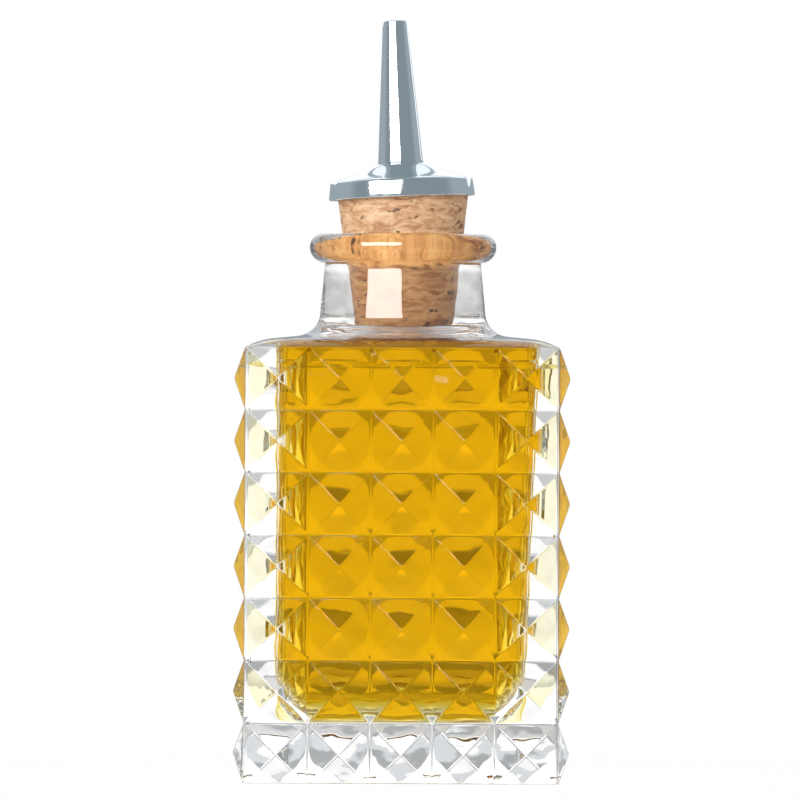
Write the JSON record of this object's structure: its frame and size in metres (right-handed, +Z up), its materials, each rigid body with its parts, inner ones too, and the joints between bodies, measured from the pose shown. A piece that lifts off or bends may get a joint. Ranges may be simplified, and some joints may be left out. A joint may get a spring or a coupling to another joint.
{
  "type": "bitters bottle",
  "caption": "Square clear-glass dasher bottle with pyramid-studded faces, filled with amber bitters and closed by a tapered cork that carries a chromed cap and spout.",
  "frame": {"origin": "middle of the flat foot that the bottle stands on", "axes": "+Z up along the bottle's neck, the four studded faces square to X and Y, -Y is the front, the stopper leans towards -X"},
  "size_m": [0.056, 0.056, 0.1276],
  "materials": {
    "clear_glass": "clear pressed glass, polished, with softly rounded stud edges",
    "bitters": "clear golden amber liquid",
    "cork": "ground natural cork with short wavy streaks and small dark pits",
    "chromed_metal": "bright polished chrome plating"
  },
  "bodies": {
    "root": {"glass_bottle": "clear_glass", "bitters_liquid": "bitters", "cork_stopper": "cork", "pourer_cap": "chromed_metal", "pourer_spout": "chromed_metal"}
  },
  "joints": []
}
